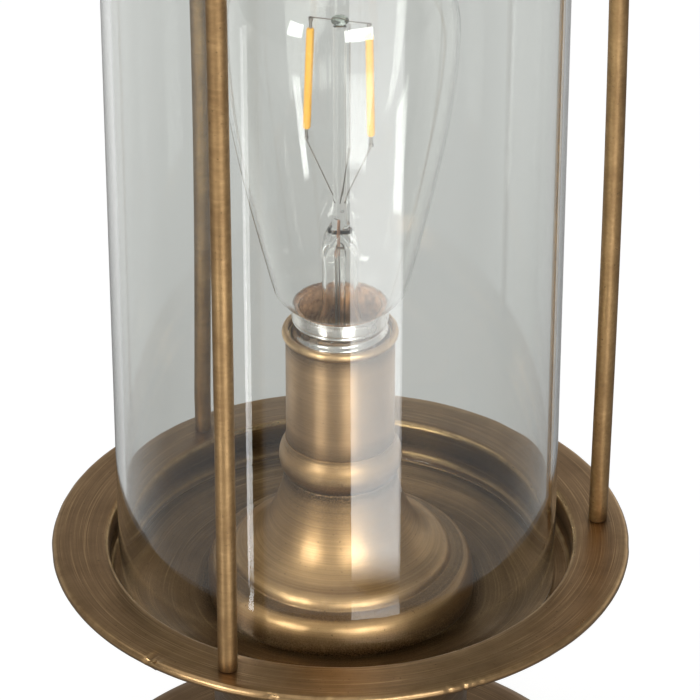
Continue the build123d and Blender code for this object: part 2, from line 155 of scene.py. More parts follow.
# Blotches and flecks of an old brown finish
tarnishBands = {"blotch": (0.36, 0.66), "fleck": (0.68, 0.78), "grainShare": 2.3}
tarnish, tarnishIn, tarnishOut = newGroup(
    "tarnish", {"Blotches": 60.0, "Flecks": 900.0}, ["Blotch", "Fleck", "Grain"],
)
blotchNoise = noiseStep(tarnish, tarnishIn["Vector"], tarnishIn["Blotches"], 5.0, 0.6)
fleckNoise = noiseStep(tarnish, tarnishIn["Vector"], tarnishIn["Flecks"])
grainScale = times(tarnish, tarnishIn["Flecks"], tarnishBands["grainShare"])
feed(tarnish, tarnishOut["Blotch"], mapStep(tarnish, blotchNoise, *tarnishBands["blotch"]))
feed(tarnish, tarnishOut["Fleck"], mapStep(tarnish, fleckNoise, *tarnishBands["fleck"]))
feed(tarnish, tarnishOut["Grain"], noiseStep(tarnish, tarnishIn["Vector"], grainScale, 2.0, 0.6))

# Bright metal at edges that hands and cloths have polished, and painted highlights on some lit bends and
# dents
rubGlintBreak = (0.3, 0.62, 0.25, 1.0)  # band of the noise, and the shares that it gives
edgeRub, rubGlintIn, rubGlintOut = newGroup("edge rub and glint", {"WearAndGlint": 0.0, "Break": 350.0}, ["Rub"])
rubGlintNoise = noiseStep(edgeRub, rubGlintIn["Vector"], rubGlintIn["Break"], 4.0, 0.65)
feed(edgeRub, rubGlintOut["Rub"], times(edgeRub, mapStep(edgeRub, rubGlintNoise, *rubGlintBreak), rubGlintIn["WearAndGlint"]))

# Slow waves in drawn and blown glass
glassWaves, wavesIn, wavesOut = newGroup("glass waves", {"Wide": 60.0, "Tall": 6.0}, ["Height"])
waveSizes = {0: wavesIn["Wide"], 1: wavesIn["Wide"], 2: wavesIn["Tall"]}
waveAt = addNode(glassWaves, "ShaderNodeVectorMath", {
    0: wavesIn["Vector"],
    1: addNode(glassWaves, "ShaderNodeCombineXYZ", waveSizes).outputs[0],
}, operation="MULTIPLY")
feed(glassWaves, wavesOut["Height"], noiseStep(glassWaves, waveAt.outputs[0], 1.0, 1.0, 0.4))
print("shared effects ready")


# Materials
def newMaterial(name):
    material = bpy.data.materials.new(name)
    material.use_nodes = True
    tree = material.node_tree
    shader = tree.nodes["Principled BSDF"]
    coords = addNode(tree, "ShaderNodeTexCoord").outputs["Object"]
    return material, tree, shader, coords


def showShader(tree, node):
    feed(tree, tree.nodes["Material Output"].inputs["Surface"], node.outputs[0])


def bumpFrom(tree, height, look):
    values = {"Height": height, "Strength": look["bump"], "Distance": look["depth"] * mm}
    return addNode(tree, "ShaderNodeBump", values).outputs[0]


def markOn(tree, name):
    # Share of a mark that finishPiece leaves on a piece
    return addNode(tree, "ShaderNodeAttribute", attribute_name=name).outputs["Fac"]


def agedMarks(tree, coords, look):
    sizes = {"Blotches": look["blotches"], "Flecks": look["flecks"]}
    return placeGroup(tree, tarnish, {"Vector": coords, **sizes})


def brassFinish(name, look):
    material, tree, shader, coords = newMaterial(name)
    marks = placeGroup(tree, turning, {"Vector": coords, "Fine": look["fine"], "Along": look["along"]})
    aged = agedMarks(tree, coords, look)
    lines = mapStep(tree, marks["Lines"], *look["lineBand"])
    scratches = mapStep(tree, marks["Lines"], *look["scratchBand"])
    # Bright edge marks: wear, and painted highlights at some lit bends
    rubAndGlint = placeGroup(tree, edgeRub, {"Vector": coords, "WearAndGlint": markOn(tree, "wearAndGlint")})["Rub"]
    # Dark marks: soiling, and painted shade in creases, gaps and under parts
    shadeAndDirtShare = times(tree, markOn(tree, "shadeAndDirt"), mapStep(tree, aged["Grain"], *look["shadeDirtBreak"]))
    layers = (
        (times(tree, aged["Blotch"], look["dulling"]), "tarnished"),
        (times(tree, lines, look["lineTone"]), "lineColour"),
        (times(tree, scratches, look["scratchTone"]), "bright"),
        (times(tree, aged["Fleck"], look["fleckTone"]), "fleckColour"),
        (rubAndGlint, "bright"),
        (shadeAndDirtShare, "shadeDirtColour"),
    )
    colour = look["metal"]
    for share, tone in layers:
        colour = mixColour(tree, share, colour, look[tone])
    rough = mapStep(tree, marks["Bands"], *look["roughBand"], look["smooth"], look["rough"])
    for share, change in ((aged["Blotch"], "blotchRough"), (rubAndGlint, "rubGlintRough"), (shadeAndDirtShare, "shadeDirtRough")):
        rough = mathStep(tree, "ADD", rough, times(tree, share, look[change]))
    height = mathStep(tree, "ADD", marks["Lines"], times(tree, aged["Grain"], look["grain"]))
    feedAll(tree, shader, {
        "Base Color": colour,
        "Metallic": 1.0,
        "Roughness": rough,
        "Anisotropic": look["brushed"],
        "Anisotropic Rotation": look["brushTurn"],
        "Coat Weight": look["lacquer"],
        "Coat Roughness": look["lacquerRough"],
        "Normal": bumpFrom(tree, height, look),
    })
    return material


def glassFinish(name, look):
    material, tree, shader, coords = newMaterial(name)
    waves = placeGroup(tree, glassWaves, {"Vector": coords, "Wide": look["wide"], "Tall": look["tall"]})
    feedAll(tree, shader, {
        "Base Color": look["tint"],
        "Roughness": look["rough"],
        "IOR": look["ior"],
        "Transmission Weight": 1.0,
        "Normal": bumpFrom(tree, waves["Height"], look),
    })
    # Light from the lamps passes straight through to what the glass covers
    showShader(tree, addNode(tree, "ShaderNodeMixShader", {
        0: addNode(tree, "ShaderNodeLightPath").outputs["Is Shadow Ray"],
        1: shader.outputs[0],
        2: addNode(tree, "ShaderNodeBsdfTransparent", {0: look["shade"]}).outputs[0],
    }))
    return material


def plainFinish(name, look):
    material, tree, shader, coords = newMaterial(name)
    aged = agedMarks(tree, coords, look)
    colour = mixColour(tree, times(tree, aged["Blotch"], look["mottle"]), look["colour"], look["second"])
    colour = mixColour(tree, times(tree, aged["Fleck"], look["fleckTone"]), colour, look["fleckColour"])
    feedAll(tree, shader, {
        "Base Color": colour,
        "Metallic": look["metallic"],
        "Roughness": mapStep(tree, aged["Blotch"], 0.0, 1.0, look["smooth"], look["rough"]),
        "Normal": bumpFrom(tree, aged["Grain"], look),
    })
    return material


agedLook = {
    # Bright tone: scratches, edge wear, and painted highlights at some lit bends
    "metal": (0.395, 0.243, 0.115, 1), "tarnished": (0.255, 0.15, 0.067, 1), "bright": (0.70, 0.47, 0.23, 1),
    "lineColour": (0.15, 0.09, 0.042, 1), "fleckColour": (0.07, 0.042, 0.02, 1),
    # Darkest tone: soiling, and painted shade in creases and under parts
    "shadeDirtColour": (0.05, 0.028, 0.012, 1),
    "fine": 3200.0, "along": 38.0, "blotches": 70.0, "flecks": 1100.0,
    "lineBand": (0.35, 0.7), "scratchBand": (0.42, 0.28), "roughBand": (0.3, 0.7),
    "shadeDirtBreak": (0.3, 0.6, 0.55, 1.0),
    "dulling": 0.8, "lineTone": 0.55, "scratchTone": 0.5, "fleckTone": 0.7,
    "smooth": 0.27, "rough": 0.38, "blotchRough": 0.06, "rubGlintRough": -0.08, "shadeDirtRough": 0.12,
    "grain": 0.8, "bump": 0.6, "depth": 0.04, "brushed": 0.3, "brushTurn": 0.25,
    "lacquer": 0.1, "lacquerRough": 0.25,
}
turnedLook = {
    **agedLook, "metal": (0.54, 0.335, 0.156, 1), "tarnished": (0.39, 0.238, 0.11, 1),
    "bright": (0.76, 0.52, 0.27, 1), "lineColour": (0.30, 0.185, 0.088, 1),
    "fine": 2400.0, "along": 8.0, "lineTone": 0.65, "scratchTone": 0.2, "smooth": 0.37, "rough": 0.45,
    "brushed": 0.2, "depth": 0.05, "grain": 0.3, "lacquer": 0.12,
}
sleeveLook = {
    **turnedLook, "metal": (0.53, 0.345, 0.188, 1), "tarnished": (0.39, 0.25, 0.13, 1),
    "lineTone": 0.4, "scratchTone": 0.0, "smooth": 0.34, "rough": 0.39, "bump": 0.35,
}
rodLook = {
    **agedLook, "metal": (0.41, 0.26, 0.118, 1), "tarnished": (0.26, 0.156, 0.068, 1),
    "fine": 900.0, "along": 12.0, "blotches": 110.0, "lineTone": 0.3, "scratchTone": 0.1,
    "smooth": 0.42, "rough": 0.52, "brushed": 0.0, "bump": 0.4,
}
# Darker copy of the aged brass: painted shade on the column and foot under the tray
shadedFootLook = {
    **agedLook, "metal": (0.27, 0.165, 0.078, 1), "tarnished": (0.18, 0.105, 0.047, 1), "scratchTone": 0.3,
}
agedBrass = brassFinish("aged brass", agedLook)
turnedBrass = brassFinish("turned brass", turnedLook)
sleeveBrass = brassFinish("sleeve brass", sleeveLook)
rodBrass = brassFinish("rod brass", rodLook)
shadedFootBrass = brassFinish("shaded foot brass", shadedFootLook)

chimneyGlass = glassFinish("chimney glass", {
    "tint": (0.90, 0.915, 0.895, 1), "shade": (0.86, 0.87, 0.85, 1), "rough": 0.0, "ior": 1.5,
    "wide": 45.0, "tall": 2.5, "bump": 0.10, "depth": 0.6,
})
bulbGlass = glassFinish("bulb glass", {
    "tint": (0.985, 0.985, 0.98, 1), "shade": (0.94, 0.94, 0.93, 1), "rough": 0.0, "ior": 1.5,
    "wide": 90.0, "tall": 30.0, "bump": 0.12, "depth": 0.5,
})
stemGlass = glassFinish("stem glass", {
    "tint": (0.985, 0.985, 0.98, 1), "shade": (0.95, 0.96, 0.95, 1), "rough": 0.0, "ior": 1.4,
    "wide": 260.0, "tall": 160.0, "bump": 0.3, "depth": 0.4,
})
buttonGlass = glassFinish("button glass", {
    "tint": (0.66, 0.73, 0.66, 1), "shade": (0.6, 0.65, 0.6, 1), "rough": 0.0, "ior": 1.5,
    "wide": 300.0, "tall": 300.0, "bump": 0.3, "depth": 0.4,
})

steelLook = {
    "colour": (0.62, 0.60, 0.57, 1), "second": (0.50, 0.48, 0.45, 1), "fleckColour": (0.30, 0.27, 0.24, 1),
    "blotches": 180.0, "flecks": 1500.0, "mottle": 0.5, "fleckTone": 0.4, "metallic": 1.0,
    "smooth": 0.28, "rough": 0.42, "bump": 0.2, "depth": 0.02,
}
nickel = plainFinish("nickel", {
    **steelLook, "colour": (0.80, 0.77, 0.73, 1), "second": (0.68, 0.64, 0.60, 1),
    "smooth": 0.19, "rough": 0.30, "bump": 0.12,
})
zincSteel = plainFinish("zinc steel", steelLook)
contactBrass = plainFinish("contact brass", {
    **steelLook, "colour": (0.70, 0.50, 0.24, 1), "second": (0.52, 0.36, 0.17, 1),
})
solder = plainFinish("solder", {
    **steelLook, "colour": (0.55, 0.54, 0.52, 1), "smooth": 0.35, "rough": 0.5, "bump": 0.5,
})
leadWire = plainFinish("lead wire", {
    **steelLook, "colour": (0.34, 0.31, 0.28, 1), "second": (0.24, 0.20, 0.17, 1),
})
copperWire = plainFinish("copper wire", {
    **steelLook, "colour": (0.62, 0.34, 0.22, 1), "second": (0.42, 0.22, 0.13, 1),
})
clayLook = {**steelLook, "metallic": 0.0, "smooth": 0.35, "rough": 0.55, "bump": 0.3, "depth": 0.05}
blackGlass = plainFinish("black glass", {
    **clayLook, "colour": (0.015, 0.015, 0.018, 1), "second": (0.03, 0.025, 0.03, 1), "fleckTone": 0.1,
    "smooth": 0.08, "rough": 0.18,
})
porcelain = plainFinish("porcelain", {
    **clayLook, "colour": (0.80, 0.78, 0.72, 1), "second": (0.72, 0.69, 0.62, 1), "fleckTone": 0.2,
    "smooth": 0.14, "rough": 0.25,
})
capCement = plainFinish("cap cement", {
    **clayLook, "colour": (0.70, 0.38, 0.19, 1), "second": (0.24, 0.10, 0.045, 1),
    "fleckColour": (1.0, 0.80, 0.52, 1), "blotches": 520.0, "mottle": 1.0, "fleckTone": 1.0,
    "smooth": 0.4, "rough": 0.7, "bump": 0.9, "depth": 0.2,
})
filamentAmber = plainFinish("filament amber", {
    **clayLook, "colour": (0.95, 0.50, 0.055, 1), "second": (0.90, 0.42, 0.04, 1),
    "fleckColour": (1.0, 0.62, 0.12, 1), "blotches": 900.0, "flecks": 4000.0, "mottle": 0.6, "fleckTone": 0.3,
    "smooth": 0.3, "rough": 0.45, "bump": 0.4,
})
linerBoard = plainFinish("liner board", {
    **clayLook, "colour": (0.42, 0.33, 0.22, 1), "second": (0.34, 0.26, 0.17, 1),
    "smooth": 0.75, "rough": 0.9,
})
weightIron = plainFinish("weight iron", {
    **clayLook, "colour": (0.075, 0.075, 0.08, 1), "second": (0.11, 0.085, 0.07, 1), "metallic": 0.6,
    "smooth": 0.55, "rough": 0.8, "bump": 0.9, "depth": 0.3,
})
platePaint = plainFinish("plate paint", {
    **clayLook, "colour": (0.04, 0.038, 0.036, 1), "second": (0.055, 0.05, 0.046, 1), "fleckTone": 0.3,
})
bushPlastic = plainFinish("bush plastic", {
    **clayLook, "colour": (0.022, 0.021, 0.020, 1), "second": (0.03, 0.028, 0.027, 1), "fleckTone": 0.05,
    "smooth": 0.38, "rough": 0.5,
})
feltCloth = plainFinish("felt cloth", {
    **clayLook, "colour": (0.035, 0.032, 0.03, 1), "second": (0.06, 0.055, 0.05, 1),
    "blotches": 900.0, "flecks": 2600.0, "smooth": 0.9, "rough": 1.0, "bump": 1.0, "depth": 0.4,
})
print("materials ready")


# Helpers for turned and formed pieces
arcSteps = 5  # segments in a rounded corner


def arcPoints(start, middle, end, steps=12):
    # Points on the circle through three (radius, height) points, without the last one
    (ax, ay), (bx, by), (cx, cy) = start, middle, end
    turn = 2 * (ax * (by - cy) + bx * (cy - ay) + cx * (ay - by))
    a2, b2, c2 = ax * ax + ay * ay, bx * bx + by * by, cx * cx + cy * cy
    centreR = (a2 * (by - cy) + b2 * (cy - ay) + c2 * (ay - by)) / turn
    centreZ = (a2 * (cx - bx) + b2 * (ax - cx) + c2 * (bx - ax)) / turn
    first = atan2(ay - centreZ, ax - centreR)
    through = (atan2(by - centreZ, bx - centreR) - first) % (2 * pi)
    sweep = (atan2(cy - centreZ, cx - centreR) - first) % (2 * pi)
    if through > sweep:
        sweep -= 2 * pi
    size = hypot(ax - centreR, ay - centreZ)
    angles = [first + sweep * k / steps for k in range(steps)]
    return [(centreR + size * cos(a), centreZ + size * sin(a), 0) for a in angles]


def curvePoints(start, handleA, handleB, end, steps=20):
    # Points on a Bezier curve between two (radius, height) points, without the last one
    corners = [Vector((r, 0, z)) for r, z in (start, handleA, handleB, end)]
    return [(p.x, p.z, 0) for p in interpolate_bezier(*corners, steps + 1)[:-1]]


def drawOutline(corners, longest, closed=True):
    # Corners are (radius, height, rounding). Long runs are cut so that they can be shaped later
    bm = bmesh.new()
    verts = [bm.verts.new((r, 0, z)) for r, z, _ in corners]
    ends = verts[1:] + verts[:1] if closed else verts[1:]
    for pair in zip(verts, ends):
        bm.edges.new(pair)
    for vert, (_, _, rounding) in zip(verts, corners):
        if rounding:
            bmesh.ops.bevel(bm, geom=[vert], offset=rounding, offset_type="OFFSET", affect="VERTICES",
                            segments=arcSteps, profile=0.5, material=-1)
    for edge in list(bm.edges):
        cuts = int(edge.calc_length() / longest)
        if cuts:
            bmesh.ops.subdivide_edges(bm, edges=[edge], cuts=cuts)
    # A run along the axis makes no wall
    onAxis = [edge for edge in bm.edges if all(abs(vert.co.x) < 1e-6 for vert in edge.verts)]
    bmesh.ops.delete(bm, geom=onAxis, context="EDGES")
    return bm


def spinOutline(bm, steps, rise=0.0):
    # One full turn about Z. A rise makes it a screw
    bmesh.ops.spin(bm, geom=bm.verts[:] + bm.edges[:], cent=(0, 0, 0), axis=(0, 0, 1), angle=2 * pi,
                   steps=steps, dvec=(0, 0, rise / steps), use_merge=not rise, use_duplicate=False)
    bmesh.ops.remove_doubles(bm, verts=bm.verts, dist=0.0005)
    bmesh.ops.recalc_face_normals(bm, faces=bm.faces)
    return bm


def turnPiece(corners, steps, longest=6.0, closed=True):
    return spinOutline(drawOutline(corners, longest, closed), steps)


def tubeCorners(outer, low, high, wall, edge):
    inner = outer - wall
    return [(outer, low, edge), (outer, high, edge), (inner, high, edge), (inner, low, edge)]


def addShape(bm, other):
    # Adds another bmesh to this one
    carrier = bpy.data.meshes.new("carrier")
    other.to_mesh(carrier)
    other.free()
    bm.from_mesh(carrier)
    bpy.data.meshes.remove(carrier)
    return bm


def moveShape(bm, offset):
    bmesh.ops.translate(bm, verts=bm.verts, vec=offset)
    return bm


def wireRun(bm, start, end, radius, sides=10):
    # Straight round wire between two points, with closed ends
    a, b = Vector(start), Vector(end)
    turn = (b - a).to_track_quat("Z", "Y").to_matrix().to_4x4()
    bmesh.ops.create_cone(bm, cap_ends=True, segments=sides, radius1=radius, radius2=radius,
                          depth=(b - a).length, matrix=Matrix.Translation((a + b) / 2) @ turn)


def nearness(distance, reach):
    # 1 at the spot, easing to 0 at its reach
    share = max(0.0, 1.0 - distance / reach)
    return share * share * (3 - 2 * share)


def markPlaces(mesh, name, spots):
    # A spot is a place, its reach and its share. The place is (radius, height) for a ring, or (x, y, height)
    layer = mesh.attributes.new(name, "FLOAT", "POINT")
    marks = []
    for vert in mesh.vertices:
        x, y, z = vert.co / mm
        ringAt = (hypot(x, y), z)
        spotAt = (x, y, z)
        near = 0.0
        for place, reach, share in spots:
            away = dist(ringAt if len(place) == 2 else spotAt, place)
            if away < reach:
                near = max(near, share * nearness(away, reach))
        marks.append(near)
    layer.data.foreach_set("value", marks)


def toMetres(bm):
    bmesh.ops.scale(bm, vec=(mm, mm, mm), verts=bm.verts)
    return bm


def newObject(name, bm, material=None):
    mesh = bpy.data.meshes.new(name)
    bm.to_mesh(mesh)
    bm.free()
    if material:
        mesh.materials.append(material)
    thing = bpy.data.objects.new(name, mesh)
    scene.collection.objects.link(thing)
    return thing


def finishPiece(name, bm, material, body, nodes=(), sharp=40.0, wearAndGlint=(), shadeAndDirt=()):
    piece = newObject(name, toMetres(bm), material)
    piece.data.shade_smooth()
    piece.data.set_sharp_from_angle(angle=radians(sharp))
    if wearAndGlint:
        markPlaces(piece.data, "wearAndGlint", wearAndGlint)
    if shadeAndDirt:
        markPlaces(piece.data, "shadeAndDirt", shadeAndDirt)
    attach(piece, body)
    if nodes:
        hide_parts(*nodes)
    return piece


def dress(material, *nodes):
    # A CAD node that keeps its own shape takes a finish
    for node in nodes:
        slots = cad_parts[node].data.materials
        slots.clear()
        slots.append(material)


rodNodes = ("rod_right", "rod_rear", "rod_front")


def rodAxis(node):
    # Middle of the rod, its lowest and its highest level
    low, high = boxOf(node)
    return (low + high) / 2, low.z, high.z


# Tray: spun sheet with a dished middle, a ledge for the glass and a turned-under hem
tray = {
    "sheet": 1.2, "holeR": 5.2, "wellR": 45.1, "ledgeR": 54.6, "dishR": 63.6, "ledgeDepth": 10.5, "hem": 2.8,
    "hemReturn": 75.8, "hemZone": 3.0, "bend": 1.6, "slopeRound": 2.2, "plinthInset": 1.4, "steps": 640,
    "waviness": 0.10, "waveSize": 0.035, "waveReach": 6.0, "rimDents": 0.22, "dentSize": 0.12,
    "crumpleAt": 231.0, "crumpleLength": 3.8, "crumpleDepth": 1.7, "crumpleSize": 0.9,
    "crumpleWay": (0.6, 0.8), "crumpleGlints": (-1.4, 0.2, 1.3), "glintInset": 0.8,
    "ticksAt": (294.2, 295.6, 297.3, 291.0, 257.4, 256.6, 268.0), "tickWidth": 0.7, "tickDepth": 0.4,
}


def flangeCorners(wallR, top, values):
    # From the bend at the inner wall, round the hem and back under to the wall
    under, hemUnder = top - values["sheet"], top - values["hem"]
    hemRound = values["hem"] / 2 - 0.01
    return [
        (wallR, top, values["bend"]),
        (rimR, top, hemRound),
        (rimR, hemUnder, hemRound),
        (values["hemReturn"], hemUnder, 0.3),
        (values["hemReturn"], under, 0),
        (wallR + values["sheet"], under, values["bend"] - values["sheet"]),
    ]


def ageRim(bm, top, values):
    # Hand-spun metal is never quite true, and its hem has small dents. The rim only moves inwards
    for vert in bm.verts:
        r = hypot(vert.co.x, vert.co.y)
        outward = Vector((vert.co.x, vert.co.y, 0)) / max(r, 1.0)
        atRim = nearness(rimR - r, values["waveReach"])
        wave = noise.noise(vert.co * values["waveSize"])
        vert.co.z += values["waviness"] * wave * nearness(abs(vert.co.z - top), values["waveReach"])
        dent = noise.noise(outward * rimR * values["dentSize"])
        vert.co -= outward * atRim * values["rimDents"] * max(0.0, dent)


def rimGap(angle, place, r):
    # Distance along a ring between an angle and a place in degrees
    return abs((angle - radians(place) + pi) % (2 * pi) - pi) * r


def hurtHem(bm, top, values):
    # One crumpled spot and a few short cuts across the rolled edge
    inward, down = values["crumpleWay"]
    for vert in bm.verts:
        r = hypot(vert.co.x, vert.co.y)
        if r < rimR - values["hemZone"] or vert.co.z < top - values["hem"]:
            continue
        angle = atan2(vert.co.y, vert.co.x)
        outward = Vector((cos(angle), sin(angle), 0))
        crumpled = nearness(rimGap(angle, values["crumpleAt"], r), values["crumpleLength"])
        crumpled *= abs(noise.noise(vert.co * values["crumpleSize"]))
        vert.co -= (outward * inward + Vector((0, 0, down))) * values["crumpleDepth"] * crumpled
        for tick in values["ticksAt"]:
            vert.co -= outward * values["tickDepth"] * nearness(rimGap(angle, tick, r), values["tickWidth"])


def rimPlace(angle):
    r = rimR - tray["glintInset"]
    return r * cos(radians(angle)), r * sin(radians(angle))


def makeTray():
    ledgeTop = flangeTop - tray["ledgeDepth"]
    sheet, dishR = tray["sheet"], tray["dishR"]
    corners = [
        (tray["holeR"], dishFloor, 0),
        (tray["wellR"], dishFloor, tray["slopeRound"]),
        (tray["ledgeR"], ledgeTop, tray["slopeRound"]),
        (dishR, ledgeTop, tray["bend"]),
        *flangeCorners(dishR, flangeTop, tray),
        (dishR + sheet, ledgeTop - sheet, tray["bend"] + sheet),
        (tray["ledgeR"], ledgeTop - sheet, tray["slopeRound"]),
        (tray["wellR"], trayLow.z, tray["slopeRound"]),
        (tray["holeR"], trayLow.z, 0),
    ]
    bm = turnPiece(corners, tray["steps"], longest=3.0)
    ageRim(bm, flangeTop, tray)
    hurtHem(bm, flangeTop, tray)
    glints = [tray["crumpleAt"] + turn for turn in tray["crumpleGlints"]]
    # Wear on the hem and at the cuts; painted highlights on the two bends, the ledge and round the crumple
    edges = [
        ((rimR - 0.6, flangeTop - 0.5), 1.5, 0.5),
        ((dishR + 0.4, flangeTop - 0.4), 1.2, 1.0),
        ((tray["ledgeR"], ledgeTop), 0.8, 1.0),
        ((dishR - 0.5, ledgeTop + 0.5), 0.8, 0.8),
        *(((*rimPlace(angle), flangeTop - 0.4), 1.3, 1.0) for angle in tray["ticksAt"]),
        *(((*rimPlace(angle), flangeTop - 0.3), 1.5, 1.0) for angle in glints),
    ]
    # Painted shade, with some soiling, in the gap beside the glass, on the dish floor, round the plinth,
    # under the hem and round the foot of each rod
    shadeDirtSpots = [
        ((dishR, ledgeTop + 4.5), 5.0, 1.0),
        ((tray["wellR"], dishFloor), 10.0, 0.45),
        ((plinthHigh.x - tray["plinthInset"], dishFloor), 8.0, 1.0),
        ((rimR, flangeTop - tray["hem"]), 1.6, 0.9),
        *(((*rodAxis(node)[0].xy, flangeTop), rods["halo"], 0.8) for node in rodNodes),
    ]
    finishPiece("tray_dish", bm, agedBrass, "stand", ["tray"], wearAndGlint=edges, shadeAndDirt=shadeDirtSpots)


# Ring that ties the tops of the rods together
ring = {**tray, "steps": 384}


def makeRing():
    wallR = tray["dishR"]
    corners = [
        (wallR, ringLow.z, 0.3),
        *flangeCorners(wallR, ringHigh.z, ring),
        (wallR + ring["sheet"], ringLow.z, 0.3),
    ]
    bm = turnPiece(corners, ring["steps"], longest=3.0)
    ageRim(bm, ringHigh.z, ring)
    edges = [((rimR - 0.6, ringHigh.z - 0.5), 1.5, 0.8), ((wallR + 0.5, ringHigh.z - 0.3), 0.9, 0.8)]
    # Painted shade, with some soiling, round the top of each rod
    shadeDirtSpots = [((*rodAxis(node)[0].xy, ringHigh.z), rods["halo"] + 2.0, 0.8) for node in rodNodes]
    finishPiece("rod_ring", bm, agedBrass, "stand", ["top_ring"], wearAndGlint=edges, shadeAndDirt=shadeDirtSpots)


# Upright rods with threaded spigots, and their domed finial nuts
# The halo and the end reach size the painted shade, with some soiling, round the feet and tops of the rods
rods = {"chamfer": 0.45, "spigotR": 2.0, "halo": 5.5, "endShadeDirt": 2.2, "steps": 40}
# Bow at mid height, sideways and back
rodBow = {"rod_right": (0.9, 0.0), "rod_rear": (1.6, 0.2), "rod_front": (0.2, 0.0)}
finial = {"r": 4.2, "waistR": 3.3, "skirt": 1.4, "bead": 0.5, "steps": 40}


def makeRods():
    ringUnder = ringHigh.z - tray["sheet"]
    for node in rodNodes:
        middle, bottom, top = rodAxis(node)
        rodR = boxOf(node)[1].x - middle.x
        corners = [
            (0, bottom, 0),
            (rods["spigotR"], bottom, 0.3),
            (rods["spigotR"], flangeTop, 0),
            (rodR, flangeTop, rods["chamfer"]),
            (rodR, ringUnder, rods["chamfer"]),
            (rods["spigotR"], ringUnder, 0),
            (rods["spigotR"], top, 0.4),
            (0, top, 0),
        ]
        bm = turnPiece(corners, rods["steps"], longest=4.0, closed=False)
        # Old rods are a little bowed between their ends
        for vert in bm.verts:
            along = min(1.0, max(0.0, (vert.co.z - flangeTop) / (ringUnder - flangeTop)))
            vert.co += Vector((*rodBow[node], 0)) * sin(pi * along)
        moveShape(bm, (middle.x, middle.y, 0))
        # Painted shade, with some soiling, where each rod meets the tray and the ring
        ends = [((*middle.xy, level), rods["endShadeDirt"] * rodR, 1.0) for level in (flangeTop, ringUnder)]
        finishPiece(node + "_bar", bm, rodBrass, "stand", [node], shadeAndDirt=ends)


def makeFinials():
    low, high = boxOf("rod_finials")
    size = finial["r"]
    seat, shoulder = low.z, high.z - size
    diagonal = size * sin(pi / 4)
    dome = arcPoints((size, shoulder), (diagonal, shoulder + diagonal), (0, high.z), 10)
    corners = [
        (rods["spigotR"], seat, 0),
        (size, seat, 0.3),
        (size, seat + finial["skirt"], 0.3),
        (finial["waistR"], seat + finial["skirt"] + finial["bead"], 0.3),
        (size, shoulder - 0.2, 0.2),
        *dome,
        (0, high.z, 0),
    ]
    bm = bmesh.new()
    for node in rodNodes:
        middle = rodAxis(node)[0]
        addShape(bm, moveShape(turnPiece(corners, finial["steps"], closed=False), (middle.x, middle.y, 0)))
    finishPiece("finial_nuts", bm, rodBrass, "stand", ["rod_finials"])


# Glass cylinder with fire-polished rims
chimney = {"wall": 2.5, "rim": 1.2, "steps": 256}


def makeChimney():
    low, high = boxOf("glass_chimney")
    corners = tubeCorners((high.x - low.x) / 2, low.z, high.z, chimney["wall"], chimney["rim"])
    bm = moveShape(turnPiece(corners, chimney["steps"], longest=30.0), ((high.x + low.x) / 2, 0, 0))
    finishPiece("chimney_cylinder", bm, chimneyGlass, "chimney", ["glass_chimney"])


# Turned plinth under the lampholder: bead, step, trumpet and collar, as (radius, height over the dish)
plinth = {
    "seat": (35.9, 0.0), "beadLow": (37.0, 2.2), "beadHigh": (36.9, 8.0), "beadTop": (33.8, 8.9),
    "groove": (32.3, 9.1), "ledge": (30.5, 9.2), "step": (29.9, 10.9), "stepTop": (28.2, 12.5),
    "flare": (20.2, 14.6), "waist": (16.2, 28.0), "neck": (15.2, 35.0),
    "collarFoot": (14.9, 35.4), "collar": (16.7, 40.2), "collarTop": (15.0, 44.9),
    "boreR": 5.2, "rim": 12.0, "neckWall": 4.0, "steps": 224,
}


def makePlinth():
    def spot(name):
        return plinth[name][0], dishFloor + plinth[name][1]

    top = plinthHigh.z
    neckR, neckZ = spot("neck")
    corners = [
        *curvePoints(spot("seat"), spot("beadLow"), spot("beadHigh"), spot("beadTop"), 20),
        (*spot("beadTop"), 0.3),
        (*spot("ledge"), 0.4),
        *arcPoints(spot("ledge"), spot("step"), spot("stepTop"), 14)[1:],
        *curvePoints(spot("stepTop"), spot("flare"), spot("waist"), spot("neck"), 30),
        (neckR, neckZ, 0.2),
        (*spot("collarFoot"), 0.15),
        *arcPoints(spot("collarFoot"), spot("collar"), spot("collarTop"), 16)[1:],
        (*spot("collarTop"), 0.3),
        (spot("collarTop")[0], top, 0.1),
        (plinth["boreR"], top, 0),
        (plinth["boreR"], neckZ, 0),
        (neckR - plinth["neckWall"], neckZ, 0.5),
        (plinth["seat"][0] - plinth["rim"], dishFloor, 0.5),
    ]
    bm = turnPiece(corners, plinth["steps"])
    # Wear on the step and the bead; the bright mark on the collar is also a painted highlight
    edges = [(spot("step"), 2.0, 0.3), (spot("beadHigh"), 2.5, 0.4), (spot("collar"), 1.6, 0.6)]
    # Painted shade, with some soiling, under the collar, over the upper trumpet, where the sleeve sits, in
    # the groove and round the foot
    shadeDirtSpots = [
        (spot("neck"), 5.5, 1.0),
        (spot("neck"), 14.0, 0.55),
        (spot("collarTop"), 3.4, 0.5),
        (spot("groove"), 3.0, 1.0),
        (spot("seat"), 8.6, 1.0),
    ]
    finishPiece("plinth_turning", bm, turnedBrass, "stand", ["socket_plinth"],
                wearAndGlint=edges, shadeAndDirt=shadeDirtSpots)


# Plain sleeve over the lampholder with a rolled lip
sleeve = {"r": 14.70, "wall": 0.75, "lipHeight": 2.6, "lipBulge": 1.35, "lipStep": 0.1, "steps": 144}


